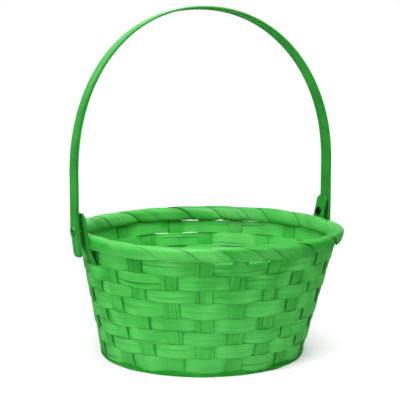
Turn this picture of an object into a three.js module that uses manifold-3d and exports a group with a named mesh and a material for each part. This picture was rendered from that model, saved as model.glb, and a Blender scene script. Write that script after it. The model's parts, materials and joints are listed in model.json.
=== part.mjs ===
// A round basket woven from flat splints, with a wound rim and a tall bow handle on two rivets.
// Millimetres, +Z up. The rim's centre is over the origin and the handle swings about an axis along X.
import * as THREE from 'three';
import { mergeVertices } from 'three/addons/utils/BufferGeometryUtils.js';
import Module from 'manifold-3d';

const wasm = await Module();
wasm.setup();

// Fits
const touchGap = 0.3; // between two pieces that lie on each other
const rivetPlay = 0.3; // round a rivet's shaft in its hole
const handleSideGap = 0.5; // from the ear's outward leaning top to the handle's leg

// Splints: each one crosses the floor and turns up at both ends as a stake
const splintsEachWay = 6;
const stakeCount = 4 * splintsEachWay;
const stakeWidth = 14.3;
const stakeThickness = 0.9;
const stakeTopInset = 1; // the cut end lies this far below the top of the hoops
const footRadius = 90.75; // middle of the stakes' thickness, where the wall's line meets the floor
const wallSlope = 0.239; // how much the radius grows for each millimetre of height

// Floor: the same splints crossing in plain weave
const floorGap = 3.2; // between two splints side by side in the woven square
const floorHeight = 2.2; // middle of the weave above the table
const bendRadius = 5; // where a splint turns up into the wall
const bendSteps = 4;
const wallSteps = 3;
const floorHoldShare = 0.4; // of the run to the bend, kept at the last crossing's level

// The floor's centre against the rim's: the basket leans a little to one side
const floorShiftX = -4.4;
const floorShiftY = 2.4;

// How far hand weaving has pushed the stakes sideways round the wall, in degrees
const footTwist = 3.2; // at the floor, fading out up to the ears' lower ends
const backDrift = 2.4; // at the rim, in the middle of the back

// Foot hoop: a narrow strip round the lower edge, from the table up
const footHoopHeight = 5.3;
const footHoopThickness = 1.1;

// Weavers: rings of flat splint, numbered from the foot hoop up
const rowCount = 8;
const weaverHeight = 11.8;
const weaverThickness = 0.9;
const rowGap = 0.3;
const passMargin = 0.8; // a ring runs flat this far past each side of what it crosses

// Rim: two hoops that pinch the stakes, wound with one flat strip
const hoopHeight = 9;
const hoopRise = 3; // from the top weaver to the hoops
const outerHoopThickness = 2.4;
const innerHoopThickness = 1.8;
const hoopEdge = 0.5; // flat that the bevel leaves along a hoop's upper and lower edge
const windLoops = stakeCount;
const windThickness = 0.7;
const windClearance = 1.1; // round the hoops' corners
const windEdgeGap = 0.6; // degrees of rim left between two turns
const windEndGap = 0.2; // of a loop, between the strip's two ends
const windSlotPlay = 1.4; // between the gathered strip and the stakes that it slips between
const windGather = 2.5; // how late on its way down the strip is gathered
const windSteps = 16; // a loop
const windFullness = 3; // exponent of the roll's oval section

// Ears: straps that carry the handle, one at each end of the X axis
const earWidth = 15;
const earThickness = 2.5;
const earAbovePivot = 15;
const earLean = 0.2; // outward lean above the rim
const earCorner = 3;
const earTuckInset = 1.3; // the lower end lies this far above the edge of the weaver that holds it
const earHoldingRow = rowCount - 1;
const earDent = 3; // how far the rim gives way inward at an ear
const earDentSpread = 22; // degrees
const pivotAboveRim = 5.5;

// Handle
const handleWidth = 12.6;
const handleThickness = 3;
const handleEdge = 0.6; // bevel along both faces
const handleTail = 22.5; // below the pivot
const handleCorner = 2.2;
const bowStart = 47.5; // straight leg above the pivot
const bowRise = 143;
const bowFullness = 2.1; // exponent of the bow's oval
const bowLean = -4.5; // how far the crown stands to one side of the pivots' middle
const bowSteps = 40;

// Rivets
const rivetRadius = 1.6;
const rivetHeadRadius = 3.7;
const rivetHeadThickness = 1.6;
const rivetCurlRadius = 3.5;
const rivetCurlThickness = 1.2;
const rivetBoreRadius = 1.5;
const rivetBoreDepth = 0.8;
const domeSteps = 3;
const roundSteps = 24;

// Heights and offsets that follow from the values above
const stakePitch = 360 / stakeCount; // degrees
const floorPitch = stakeWidth + floorGap;
const floorTurn = splintsEachWay % 2 === 0 ? stakePitch / 2 : 0; // brings the splints' ends under the stakes
const firstRowHeight = footHoopHeight + rowGap;
const rowPitch = weaverHeight + rowGap;
const wovenTop = firstRowHeight + rowCount * rowPitch - rowGap;
const hoopBottom = wovenTop + hoopRise;
const rimMiddle = hoopBottom + hoopHeight / 2;
const stakeTop = hoopBottom + hoopHeight - stakeTopInset;
const earBottom = firstRowHeight + (earHoldingRow - 1) * rowPitch + earTuckInset;
const stakeFace = stakeThickness / 2 + touchGap;
const weaverSwing = stakeFace + weaverThickness / 2;
const outerHoopFace = stakeFace + outerHoopThickness;
const innerHoopFace = stakeFace + innerHoopThickness;
const windOuter = outerHoopFace + windClearance + windThickness;
const windInner = innerHoopFace + windClearance + windThickness;
const windHalfHeight = hoopHeight / 2 + touchGap + windThickness;
const rimTop = rimMiddle + windHalfHeight;
const pivotHeight = rimTop + pivotAboveRim;
const passHalfWidth = Math.max(earWidth, stakeWidth) / 2 + passMargin;

const turn = (degrees) => THREE.MathUtils.degToRad(degrees);
const stakeAngle = (index) => turn(stakePitch * index);
const upward = () => new THREE.Vector3(0, 0, 1);
const heading = (angle) => new THREE.Vector3(Math.cos(angle), Math.sin(angle), 0);
const oval = (value, fullness) => Math.sign(value) * Math.abs(value) ** (2 / fullness);

// How far the wall gives way at the two ears: most at the rim and nothing at the floor
function dent(angle, height) {
  const toEar = Math.abs(Math.atan2(Math.sin(2 * angle), Math.cos(2 * angle))) / 2;
  return earDent * (height / rimMiddle) ** 2 * Math.exp(-((toEar / turn(earDentSpread)) ** 2));
}

// The direction in which a stake stands at some height, from its even place round the basket
function swung(angle, height) {
  const twist = turn(footTwist) * Math.max(0, 1 - height / earBottom);
  const drift = turn(backDrift) * Math.max(0, Math.sin(angle)) * (height / rimMiddle);
  return angle + twist + drift;
}

// A point of the wall: offset is measured outward from the middle of the stakes, and aside along the wall
function wallPoint(angle, height, offset, aside = 0) {
  const outward = heading(swung(angle, height));
  const radius = footRadius + wallSlope * height - dent(angle, height) + offset;
  const lean = 1 - height / rimMiddle;
  return new THREE.Vector3(floorShiftX * lean, floorShiftY * lean, height)
    .addScaledVector(outward, radius)
    .addScaledVector(upward().cross(outward), aside);
}

// A closed body through rings of points. A ring lists one side and then the other side backwards.
function loft(rings, closed) {
  const count = rings[0].length;
  const indices = [];
  const steps = closed ? rings.length : rings.length - 1;
  for (let i = 0; i < steps; i++) {
    const here = i * count;
    const next = ((i + 1) % rings.length) * count;
    for (let j = 0; j < count; j++) {
      const k = (j + 1) % count;
      indices.push(here + j, here + k, next + k, here + j, next + k, next + j);
    }
  }
  if (!closed) {
    const last = (rings.length - 1) * count;
    for (let j = 0; j < count / 2 - 1; j++) {
      const a = j;
      const b = j + 1;
      const c = count - 2 - j;
      const d = count - 1 - j;
      indices.push(a, c, b, a, d, c, last + a, last + b, last + c, last + a, last + c, last + d);
    }
  }
  const geometry = new THREE.BufferGeometry();
  const points = rings.flat().flatMap((point) => point.toArray());
  geometry.setAttribute('position', new THREE.Float32BufferAttribute(points, 3));
  geometry.setIndex(signedVolume(points, indices) < 0 ? indices.reverse() : indices);
  geometry.computeVertexNormals();
  return geometry;
}

function signedVolume(points, indices) {
  const corner = (index) => new THREE.Vector3().fromArray(points, 3 * index);
  let volume = 0;
  for (let i = 0; i < indices.length; i += 3) {
    const [a, b, c] = [corner(indices[i]), corner(indices[i + 1]), corner(indices[i + 2])];
    volume += a.dot(b.cross(c)) / 6;
  }
  return volume;
}

// The four corners of a flat strip at one station
function stripRing(centre, across, through, width, thickness) {
  const side = across.clone().multiplyScalar(width / 2);
  const face = through.clone().multiplyScalar(thickness / 2);
  return [
    centre.clone().sub(side).add(face),
    centre.clone().add(side).add(face),
    centre.clone().add(side).sub(face),
    centre.clone().sub(side).sub(face),
  ];
}

function toSolid(geometry) {
  const bare = geometry.clone();
  for (const name of ['normal', 'uv']) bare.deleteAttribute(name);
  const merged = mergeVertices(bare, 1e-4);
  return new wasm.Manifold(new wasm.Mesh({
    numProp: 3,
    vertProperties: new Float32Array(merged.attributes.position.array),
    triVerts: new Uint32Array(merged.index.array),
  }));
}

function toGeometry(solid) {
  const mesh = solid.getMesh();
  const geometry = new THREE.BufferGeometry();
  geometry.setAttribute('position', new THREE.BufferAttribute(mesh.vertProperties, 3));
  geometry.setIndex(new THREE.BufferAttribute(mesh.triVerts, 1));
  geometry.computeVertexNormals();
  return geometry;
}

// A round body turned about the X axis, from [x, radius] pairs that start and end on the axis
function turned(profile) {
  const points = profile.map(([x, radius]) => new THREE.Vector2(radius, x));
  return new THREE.LatheGeometry(points, roundSteps).rotateZ(-Math.PI / 2);
}

// A closed ring with one flat over each stake, from a list of [height, offset] corners.
// swingAt says how far the ring swings out or in at a stake.
function stakeRing(corners, swingAt = () => 0) {
  const rings = [];
  for (let index = 0; index < stakeCount; index++) {
    for (const side of [-1, 1]) {
      rings.push(corners.map(([height, offset]) => (
        wallPoint(stakeAngle(index), height, offset + swingAt(index), side * passHalfWidth)
      )));
    }
  }
  return loft(rings, true);
}

const bamboo = new THREE.MeshStandardMaterial({ color: 0x3fb548, roughness: 0.55, metalness: 0 });
const shadedBamboo = new THREE.MeshStandardMaterial({ color: 0x2b9a36, roughness: 0.6, metalness: 0 });
const darkSteel = new THREE.MeshStandardMaterial({ color: 0x26382a, roughness: 0.35, metalness: 0.9 });

const basket = new THREE.Group();
const handleGroup = new THREE.Group();

function place(group, name, geometry, material) {
  const mesh = new THREE.Mesh(geometry, material);
  mesh.name = name;
  group.add(mesh);
  return mesh;
}

// Where a splint bends up: its line turns about a circle that meets the floor and the leaning wall
const slopeAngle = Math.atan(wallSlope);
const bendCentreHeight = floorHeight + bendRadius;
const bendTopHeight = bendCentreHeight - bendRadius * Math.sin(slopeAngle);
const bendCentreRadius = footRadius + wallSlope * bendTopHeight - bendRadius * Math.cos(slopeAngle);
const floorSwing = (stakeThickness + touchGap) / 2;
const floorCentre = () => new THREE.Vector3(floorShiftX, floorShiftY, 0);

// A point of the woven square: along runs down the splint and lane tells the splints of one way apart
function floorPoint(lane, along, way) {
  const aside = lane * floorPitch;
  const point = way === 0 ? new THREE.Vector3(aside, along, 0) : new THREE.Vector3(along, aside, 0);
  return point.applyAxisAngle(upward(), turn(floorTurn + footTwist)).add(floorCentre());
}

// The even place round the basket of one end of a splint
function armAngle(lane, way, end) {
  const laneAngle = turn(stakePitch * lane);
  const square = end * (Math.PI / 2 - laneAngle);
  const side = end > 0 ? laneAngle : Math.PI - laneAngle;
  return (way === 0 ? square : side) + turn(floorTurn);
}

// The directions across and through a stake where it has bent up this far
function faceOf(angle, height, bend) {
  const outward = heading(swung(angle, height));
  const through = outward.clone().multiplyScalar(-Math.sin(bend)).addScaledVector(upward(), Math.cos(bend));
  return [upward().cross(outward), through];
}

// Half a splint, from its last crossing on the floor to its cut end at the rim
function splintArm(lane, way, end, lastLevel) {
  const angle = armAngle(lane, way, end);
  const outward = heading(swung(angle, 0));
  const strip = (centre, side, face) => stripRing(centre, side, face, stakeWidth, stakeThickness);

  const squareReach = ((splintsEachWay - 1) / 2) * floorPitch + stakeWidth / 2 + passMargin;
  const kink = floorPoint(lane, end * squareReach, way);
  const bendStart = outward.clone().multiplyScalar(bendCentreRadius).add(floorCentre());
  const run = bendStart.clone().sub(kink).normalize();
  const laneRun = floorPoint(lane, end, way).sub(floorPoint(lane, 0, way)).normalize();
  const kinkAcross = upward().cross(run.clone().add(laneRun).normalize());
  const held = kink.clone().lerp(bendStart, floorHoldShare);
  const rings = [
    strip(kink.setZ(floorHeight + lastLevel), kinkAcross, upward()),
    strip(held.setZ(floorHeight + lastLevel), upward().cross(run), upward()),
  ];
  for (let step = 0; step <= bendSteps; step++) {
    const bend = (Math.PI / 2 - slopeAngle) * (step / bendSteps);
    const height = bendCentreHeight - bendRadius * Math.cos(bend);
    const inset = footRadius + wallSlope * height - bendCentreRadius - bendRadius * Math.sin(bend);
    rings.push(strip(wallPoint(angle, height, -inset), ...faceOf(angle, height, bend)));
  }
  for (let step = 1; step <= wallSteps; step++) {
    const height = bendTopHeight + (stakeTop - bendTopHeight) * (step / wallSteps);
    rings.push(strip(wallPoint(angle, height, 0), ...faceOf(angle, height, Math.PI / 2 - slopeAngle)));
  }
  return rings;
}

// Every ring of a splint starts on the same edge, so that the strip isn't twisted
function alignRing(ring, across) {
  const forward = ring[1].clone().sub(ring[0]).dot(across) > 0;
  return forward ? ring : [ring[1], ring[0], ring[3], ring[2]];
}

function splint(index, way) {
  const lane = index - (splintsEachWay - 1) / 2;
  const across = floorPoint(1, 0, way).sub(floorPoint(0, 0, way)).normalize();
  const level = (crossing) => ((index + crossing + way) % 2 === 0 ? floorSwing : -floorSwing);
  const rings = [];
  for (let crossing = 0; crossing < splintsEachWay; crossing++) {
    const middle = (crossing - (splintsEachWay - 1) / 2) * floorPitch;
    for (const side of [-1, 1]) {
      const point = floorPoint(lane, middle + side * (stakeWidth / 2 + touchGap), way);
      point.setZ(floorHeight + level(crossing));
      rings.push(stripRing(point, across, upward(), stakeWidth, stakeThickness));
    }
  }
  const far = splintArm(lane, way, 1, level(splintsEachWay - 1));
  const near = splintArm(lane, way, -1, level(0)).reverse();
  return loft([...near, ...rings, ...far].map((ring) => alignRing(ring, across)), false);
}

for (let way = 0; way < 2; way++) {
  for (let index = 0; index < splintsEachWay; index++) {
    const number = String(way * splintsEachWay + index + 1).padStart(2, '0');
    place(basket, `splint_${number}`, splint(index, way), bamboo);
  }
}

// Foot hoop: it stands on the table outside the splints' bends and follows the wall's slope
const bendReach = bendRadius + stakeThickness / 2;
const bendFace = bendCentreRadius + Math.sqrt(bendReach ** 2 - (bendCentreHeight - footHoopHeight) ** 2);
const footHoopInner = bendFace + touchGap - footRadius - wallSlope * footHoopHeight;
const footHoopOuter = footHoopInner + footHoopThickness;
place(basket, 'foot_hoop', stakeRing([
  [0, footHoopOuter],
  [footHoopHeight, footHoopOuter],
  [footHoopHeight, footHoopInner],
  [0, footHoopInner],
]), bamboo);

// Weavers: over one stake and under the next, and outside the ears where a row holds them
for (let row = 1; row <= rowCount; row++) {
  const bottom = firstRowHeight + (row - 1) * rowPitch;
  const top = bottom + weaverHeight;
  const half = weaverThickness / 2;
  const earPass = stakeFace + earThickness + touchGap + half;
  const swing = (index) => {
    const outside = (index + rowCount - row) % 2 === 1;
    const atEar = index % (stakeCount / 2) === 0 && row === earHoldingRow;
    if (atEar) return earPass;
    return outside ? weaverSwing : -weaverSwing;
  };
  const corners = [[bottom, half], [top, half], [top, -half], [bottom, -half]];
  place(basket, `weaver_${row}`, stakeRing(corners, swing), bamboo);
}

// The two hoops of the rim, each with its far corners bevelled
function hoopCorners(inner, outer) {
  const top = hoopBottom + hoopHeight;
  const edge = inner + Math.sign(outer) * hoopEdge;
  const bevel = Math.abs(outer - edge);
  return [
    [hoopBottom, edge],
    [hoopBottom + bevel, outer],
    [top - bevel, outer],
    [top, edge],
    [top, inner],
    [hoopBottom, inner],
  ];
}
place(basket, 'outer_hoop', stakeRing(hoopCorners(stakeFace, outerHoopFace)), bamboo);
place(basket, 'inner_hoop', stakeRing(hoopCorners(-stakeFace, -innerHoopFace)), bamboo);

// The wound strip: one unbroken helix round both hoops, over the top and down the outside
const windMiddle = (windOuter - windInner) / 2;
const windHalfDepth = (windOuter + windInner) / 2;
const windPitch = turn(360 / windLoops);
const windReach = (windPitch - turn(windEdgeGap)) / 2;
const slotRadius = footRadius + wallSlope * hoopBottom - earDent;
const slotReach = turn(stakePitch) / 2 - Math.asin((stakeWidth / 2 + windSlotPlay) / slotRadius);

// The strip is wide on the roll and gathered where it slips between two stakes under the hoops
function windPoint(along, side, inset) {
  const phase = 2 * Math.PI * along;
  const gather = ((1 - Math.cos(phase)) / 2) ** windGather;
  const reach = windReach + (slotReach - windReach) * gather;
  const angle = windPitch * along + side * reach;
  const height = rimMiddle + (windHalfHeight - inset) * oval(Math.cos(phase), windFullness);
  const offset = windMiddle + (windHalfDepth - inset) * oval(Math.sin(phase), windFullness);
  return wallPoint(angle, height, offset);
}

const windRings = [];
const windTotal = Math.round((windLoops - windEndGap) * windSteps);
for (let step = 0; step <= windTotal; step++) {
  const along = step / windSteps;
  windRings.push([
    ...[-1, 0, 1].map((side) => windPoint(along, side, 0)),
    ...[1, 0, -1].map((side) => windPoint(along, side, windThickness)),
  ]);
}
place(basket, 'rim_winding', loft(windRings, false), bamboo);

// Least gap between one turn of the winding and the next, measured between their edges
let leastWindGap = Infinity;
for (let step = 0; step <= windTotal - windSteps; step++) {
  const furthest = Math.min(step + 1.5 * windSteps, windTotal);
  for (let other = step + windSteps / 2; other <= furthest; other++) {
    for (const inset of [0, windThickness]) {
      const edge = windPoint(step / windSteps, 1, inset);
      const facing = windPoint(other / windSteps, -1, inset);
      leastWindGap = Math.min(leastWindGap, edge.distanceTo(facing));
    }
  }
}
console.log(`least gap between turns of the rim winding: ${leastWindGap.toFixed(2)} mm`);

// Ears: tucked behind a weaver, bent out over the rim and leaning out above it
const earBendStart = firstRowHeight + earHoldingRow * rowPitch;
const earTop = pivotHeight + earAbovePivot;
const rimFaceRadius = footRadius + wallSlope * rimMiddle - earDent + windOuter + touchGap;
const earFaceAt = (height) => rimFaceRadius + earLean * (height - rimMiddle);
const boreRadius = rivetRadius + rivetPlay;

function earRings() {
  const wallFace = (height) => footRadius + wallSlope * height - dent(0, height) + stakeFace;
  const rimFaceBottom = rimMiddle - windHalfHeight / 2;
  const rimFaceTop = rimMiddle + windHalfHeight / 2;
  const stations = [
    [earBottom, wallFace(earBottom), earWidth],
    [earBendStart, wallFace(earBendStart), earWidth],
    [rimFaceBottom, rimFaceRadius, earWidth],
    [rimFaceTop, earFaceAt(rimFaceTop), earWidth],
    [earTop - earCorner, earFaceAt(earTop - earCorner), earWidth],
    [earTop, earFaceAt(earTop), earWidth - 2 * earCorner],
  ];
  return stations.map(([height, radius, width]) => [
    new THREE.Vector3(radius + earThickness, -width / 2, height),
    new THREE.Vector3(radius + earThickness, width / 2, height),
    new THREE.Vector3(radius, width / 2, height),
    new THREE.Vector3(radius, -width / 2, height),
  ]);
}

// An ear's rings are moved with the wall, which leans, and turned to its end of the X axis
function ear(end) {
  const rings = earRings().map((ring) => ring.map((point) => {
    const lean = 1 - point.z / rimMiddle;
    return new THREE.Vector3(end * point.x + floorShiftX * lean, point.y + floorShiftY * lean, point.z);
  }));
  const hole = new THREE.CylinderGeometry(boreRadius, boreRadius, 4 * earThickness, roundSteps);
  hole.rotateZ(Math.PI / 2).translate(end * earFaceAt(pivotHeight), 0, pivotHeight);
  return toGeometry(toSolid(loft(rings, false)).subtract(toSolid(hole)));
}
place(basket, 'left_ear', ear(-1), shadedBamboo);
place(basket, 'right_ear', ear(1), shadedBamboo);

// Handle: a flat strip, straight at the legs and an oval bow above
const earTopShift = Math.abs(floorShiftX * (1 - earTop / rimMiddle));
const handleInner = earFaceAt(earTop) + earThickness + earTopShift + handleSideGap;
const handleHalfSpan = handleInner + handleThickness / 2;
const legBottom = pivotHeight - handleTail;
const bowBase = pivotHeight + bowStart;

// The strip's section at one station, with a small bevel on each of its four edges
function handleRing(x, z, normal, width) {
  const half = handleThickness / 2;
  const quarter = [[width / 2 - handleEdge, half], [width / 2, half - handleEdge]];
  const front = [...quarter, ...quarter.map(([side, rise]) => [side, -rise]).reverse()];
  const back = front.map(([side, rise]) => [-side, rise]).reverse();
  return [...front, ...back].map(([side, rise]) => (
    new THREE.Vector3(x, side, z).addScaledVector(normal, rise)
  ));
}

function handleBody() {
  const leg = new THREE.Vector3(1, 0, 0);
  const rightLeg = [
    handleRing(handleHalfSpan, legBottom, leg, handleWidth - 2 * handleCorner),
    handleRing(handleHalfSpan, legBottom + handleCorner, leg, handleWidth),
  ];
  const mirror = (ring) => ring.map((point) => new THREE.Vector3(-point.x, point.y, point.z));
  const power = bowFullness - 1;
  const bow = [];
  for (let step = 0; step <= bowSteps; step++) {
    const phase = (Math.PI * step) / bowSteps;
    const aside = oval(Math.cos(phase), bowFullness);
    const rise = oval(Math.sin(phase), bowFullness);
    const x = handleHalfSpan * aside + bowLean * rise ** 2;
    const z = bowBase + bowRise * rise;
    const outward = Math.sign(aside) * Math.abs(aside) ** power / handleHalfSpan;
    const rising = (rise ** power - 2 * bowLean * rise * outward) / bowRise;
    bow.push(handleRing(x, z, new THREE.Vector3(outward, 0, rising).normalize(), handleWidth));
  }
  const leftLeg = rightLeg.map(mirror).reverse();
  return [...rightLeg, ...bow, ...leftLeg];
}

const handleHole = new THREE.CylinderGeometry(boreRadius, boreRadius, 3 * handleHalfSpan, roundSteps);
handleHole.rotateZ(Math.PI / 2).translate(0, 0, pivotHeight);
place(handleGroup, 'handle', toGeometry(
  toSolid(loft(handleBody(), false)).subtract(toSolid(handleHole)),
), bamboo);

// Rivets: a domed head lies on the ear's inner face, and the hollow end is curled over the handle
function rivet(end) {
  const shift = floorShiftX * (1 - pivotHeight / rimMiddle);
  const face = earFaceAt(pivotHeight) + end * shift;
  const curl = handleInner + handleThickness + touchGap;
  const tip = curl + rivetCurlThickness;
  const shaft = turned([
    [face - touchGap, 0],
    [face - touchGap, rivetRadius],
    [curl, rivetRadius],
    [curl, rivetCurlRadius],
    [curl + rivetCurlThickness / 2, rivetCurlRadius],
    [tip, (rivetCurlRadius + rivetBoreRadius) / 2],
    [curl + rivetCurlThickness / 2, rivetBoreRadius],
    [tip - rivetBoreDepth, rivetBoreRadius],
    [tip - rivetBoreDepth, 0],
  ]);
  const dome = [];
  for (let step = 0; step <= domeSteps; step++) {
    const rise = (Math.PI / 2) * (step / domeSteps);
    dome.push([-rivetHeadThickness * Math.cos(rise), rivetHeadRadius * Math.sin(rise)]);
  }
  const head = turned([...dome, [0, 0]]);
  head.rotateY(Math.atan(earLean)).translate(face - touchGap, 0, 0);
  const geometry = toGeometry(toSolid(shaft).add(toSolid(head)));
  if (end < 0) geometry.rotateZ(Math.PI);
  return geometry.translate(0, 0, pivotHeight);
}
place(basket, 'left_rivet', rivet(-1), darkSteel);
place(basket, 'right_rivet', rivet(1), darkSteel);

export default new THREE.Group().add(basket, handleGroup);
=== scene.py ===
"""A round basket woven from split bamboo, with a wound rim and a tall bow handle on two rivets.

Metres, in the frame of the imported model: +Z up, the rim's centre over the origin and the rivets along X.
"""
import json
import math

import bpy
import numpy as np
from mathutils import Matrix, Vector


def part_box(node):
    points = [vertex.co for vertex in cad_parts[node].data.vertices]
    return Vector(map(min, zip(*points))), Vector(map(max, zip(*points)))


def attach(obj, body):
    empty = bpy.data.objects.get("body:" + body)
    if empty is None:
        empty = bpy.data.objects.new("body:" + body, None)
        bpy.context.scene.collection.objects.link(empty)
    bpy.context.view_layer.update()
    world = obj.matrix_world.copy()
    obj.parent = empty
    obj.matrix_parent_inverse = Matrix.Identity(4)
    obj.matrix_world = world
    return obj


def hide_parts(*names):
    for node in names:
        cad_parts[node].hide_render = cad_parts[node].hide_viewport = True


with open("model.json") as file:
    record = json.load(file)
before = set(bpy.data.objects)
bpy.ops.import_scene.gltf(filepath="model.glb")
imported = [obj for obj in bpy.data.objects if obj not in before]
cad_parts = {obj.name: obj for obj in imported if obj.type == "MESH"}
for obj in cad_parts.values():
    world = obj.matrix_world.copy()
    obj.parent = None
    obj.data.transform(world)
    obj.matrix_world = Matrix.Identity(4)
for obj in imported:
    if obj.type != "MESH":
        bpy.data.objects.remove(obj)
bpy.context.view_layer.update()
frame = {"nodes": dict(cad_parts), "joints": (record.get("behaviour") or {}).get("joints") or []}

# The photograph's view: a long lens from the left of the front, a little above the rim.
# Its place and angles were worked out from the rim, the foot and the handle in the photograph.
camera_place = (-0.5120, -0.9213, 0.2833)
camera_heading = math.radians(-28.70)
camera_dip = math.radians(7.80)
camera_lens = 105.5  # millimetres

camera_data = bpy.data.cameras.new("photo_view")
camera_data.sensor_fit = "HORIZONTAL"
camera_data.sensor_width = 36.0
camera_data.lens = camera_lens
camera_data.clip_end = 20.0
camera = bpy.data.objects.new("photo_view", camera_data)
camera.matrix_world = (
    Matrix.Translation(camera_place)
    @ Matrix.Rotation(camera_heading, 4, "Z")
    @ Matrix.Rotation(math.pi / 2 - camera_dip, 4, "X")
)
bpy.context.scene.collection.objects.link(camera)
bpy.context.scene.camera = camera


# Splints: twelve long flat strips of split bamboo, dyed green and half a millimetre thick. They cross
# under the basket in plain weave, turn up at its edge as the 24 stakes of the wall, and end in the rim.
splints_each_way = 6
stake_count = 4 * splints_each_way
stake_pitch = 2 * math.pi / stake_count
stake_width = 0.0143
splint_thickness = 0.0005
splint_crown = 0.00006
ridge_height = 0.00006  # the fibres stand up this far on the skin
furrow_depth = 0.00005
splint_waver = 0.02  # a splint's width varies by this share
splint_wander = 0.0002  # and its middle runs this far off its line
stake_sway = 0.0004  # a stake gives way this far to the weavers that cross it
floor_gap = 0.0032
floor_pitch = stake_width + floor_gap
floor_reach = ((splints_each_way - 1) * floor_pitch + stake_width) / 2
floor_height = 0.0022
floor_turn = stake_pitch / 2
floor_sway = 0.0006
floor_steps = 96
kink_gap = 0.0008  # from the edge of the woven floor to where a splint turns towards its stake
kink_steps = 8
bend_radius = 0.003
bend_steps = 8
foot_radius = 0.09075
wall_slope = 0.239
floor_shift = np.array([-0.0044, 0.0024, 0.0])  # the floor's centre against the rim's
foot_twist = math.radians(3.2)  # weaving by hand has pushed the stakes round the wall, at the floor
back_drift = math.radians(2.4)  # and at the rim, in the middle of the back
ear_dent = 0.003  # the rim gives way this far at the ears
ear_dent_spread = math.radians(22)
hoop_low, hoop_high = (corner.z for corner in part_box("outer_hoop"))
rim_middle = (hoop_low + hoop_high) / 2
stake_top = hoop_high - 0.001
stake_steps = 72
ear_bottom, ear_top = (corner.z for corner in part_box("left_ear"))
row_count = 8
row_low = [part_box(f"weaver_{row}")[0].z for row in range(1, row_count + 1)]
row_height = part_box("weaver_1")[1].z - row_low[0]
row_pitch = (row_low[-1] - row_low[0]) / (row_count - 1)
edge_bulge = 0.6  # a strip's edge rounds out past its last row of points by this share of a step
strays = np.zeros(stake_count + 1)  # how far single stakes stray at the rim, in radians
strays[[13, 14, 18, 19]] = np.radians((-1.2, -1.1, 1.6, 0.5))
leaf_green = (0.012, 0.300, 0.017)
pale_green = (0.085, 0.560, 0.092)
deep_green = (0.002, 0.090, 0.005)
# Painted light: the colour the skin is painted towards, low on the wall and on the handle's crown.
painted_light_green = (0.125, 0.600, 0.135)


def dent(angle, height):
    """How far the wall gives way near the two ears: most at the rim and nothing at the floor."""
    to_ear = np.abs(np.arctan2(np.sin(2 * angle), np.cos(2 * angle))) / 2
    return ear_dent * (height / rim_middle) ** 2 * np.exp(-((to_ear / ear_dent_spread) ** 2))


def swung(angle, height):
    """The direction in which a stake stands at some height, from its even place round the basket."""
    twist = foot_twist * np.maximum(0, 1 - height / ear_bottom)
    stray = np.interp(angle / stake_pitch % stake_count, np.arange(stake_count + 1), strays)
    drift = (back_drift * np.maximum(0, np.sin(angle)) + stray) * height / rim_middle
    return angle + twist + drift


def wall_point(angle, height, offset):
    """A point of the leaning wall. The offset is measured outward from the middle of the stakes."""
    angle, height, offset = np.broadcast_arrays(angle, height, offset)
    radius = foot_radius + wall_slope * height - dent(angle, height) + offset
    lean = 1 - height / rim_middle
    turned = swung(angle, height)
    x = floor_shift[0] * lean + radius * np.cos(turned)
    y = floor_shift[1] * lean + radius * np.sin(turned)
    return np.stack([x, y, height], axis=-1)


def heading(angle):
    """Level, and outward from the middle of the basket."""
    return np.stack([np.cos(angle), np.sin(angle), np.zeros_like(angle)], axis=-1)


def unit(vectors):
    return vectors / np.linalg.norm(vectors, axis=-1, keepdims=True)


def sway(values, seed, swell_length):
    """A smooth uneven line along a strip, between about -1 and 1, of three waves that don't match."""
    draw = np.random.default_rng(seed)
    waves = (1.0, 1.73, 2.91)
    total = np.zeros_like(values)
    for wave in waves:
        start = draw.uniform(0, 2 * math.pi)
        total = total + np.sin(values * wave * 2 * math.pi / swell_length + start) / wave
    return total / 1.6


def ease(share):
    """From 0 to 1 with a soft start and a soft end."""
    return share * share * (3 - 2 * share)


def rows_across(count):
    """Places across a strip from -1 to 1, with two close to each edge so that the edge looks crisp."""
    inner, near_edge, at_edge = 0.86, 0.94, 0.985
    return np.array([-at_edge, -near_edge, *np.linspace(-inner, inner, count), near_edge, at_edge])


def strip_faces(front, back, along, across, number, closed=False):
    """The faces of one strip: its two sides as grids of points, joined along the edges and at the ends.

    Returns points, faces and, for each corner of a face, its place along and across the grain and the
    strip's number, which is negative on the back. A number's fraction makes its strip paler or darker."""
    steps, rows = front.shape[:2]
    left = (front[:, :1] + back[:, :1]) / 2
    right = (front[:, -1:] + back[:, -1:]) / 2
    left_edge = left + edge_bulge * (left - (front[:, 1:2] + back[:, 1:2]) / 2)
    right_edge = right + edge_bulge * (right - (front[:, -2:-1] + back[:, -2:-1]) / 2)
    points = np.concatenate([left_edge, front, right_edge, back[:, ::-1]], axis=1)
    edge = float(across[-1])
    places = np.concatenate([[-edge], across, [edge], across[::-1]])
    count = points.shape[1]
    numbers = [number if j <= rows else -number for j in range(count)]
    faces, corners = [], []
    for i in range(steps if closed else steps - 1):
        here, there = i * count, ((i + 1) % steps) * count
        for j in range(count):
            k = (j + 1) % count
            faces.append((here + j, here + k, there + k, there + j))
            ends = ((i, j), (i, k), (i + 1, k), (i + 1, j))
            corners.append([(along[step], places[place], numbers[j]) for step, place in ends])
    if not closed:
        for i, turn in ((0, 1), (steps - 1, -1)):
            start = i * count
            cap = [(0, 1, count - 1), (rows, rows + 1, rows + 2)]
            cap += [(j, j + 1, count - 1 - j, count - j) for j in range(1, rows)]
            for face in cap:
                face = face[::-turn]
                faces.append(tuple(start + j for j in face))
                corners.append([(along[i], places[j], number) for j in face])
    facing = np.cross(front[0, -1] - front[0, 0], front[1, 0] - front[0, 0])
    if np.dot(facing, front[0, 0] - back[0, 0]) < 0:  # then the faces would look into the strip
        faces = [face[::-1] for face in faces]
        corners = [face[::-1] for face in corners]
    return points.reshape(-1, 3), faces, [corner for face in corners for corner in face]


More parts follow.
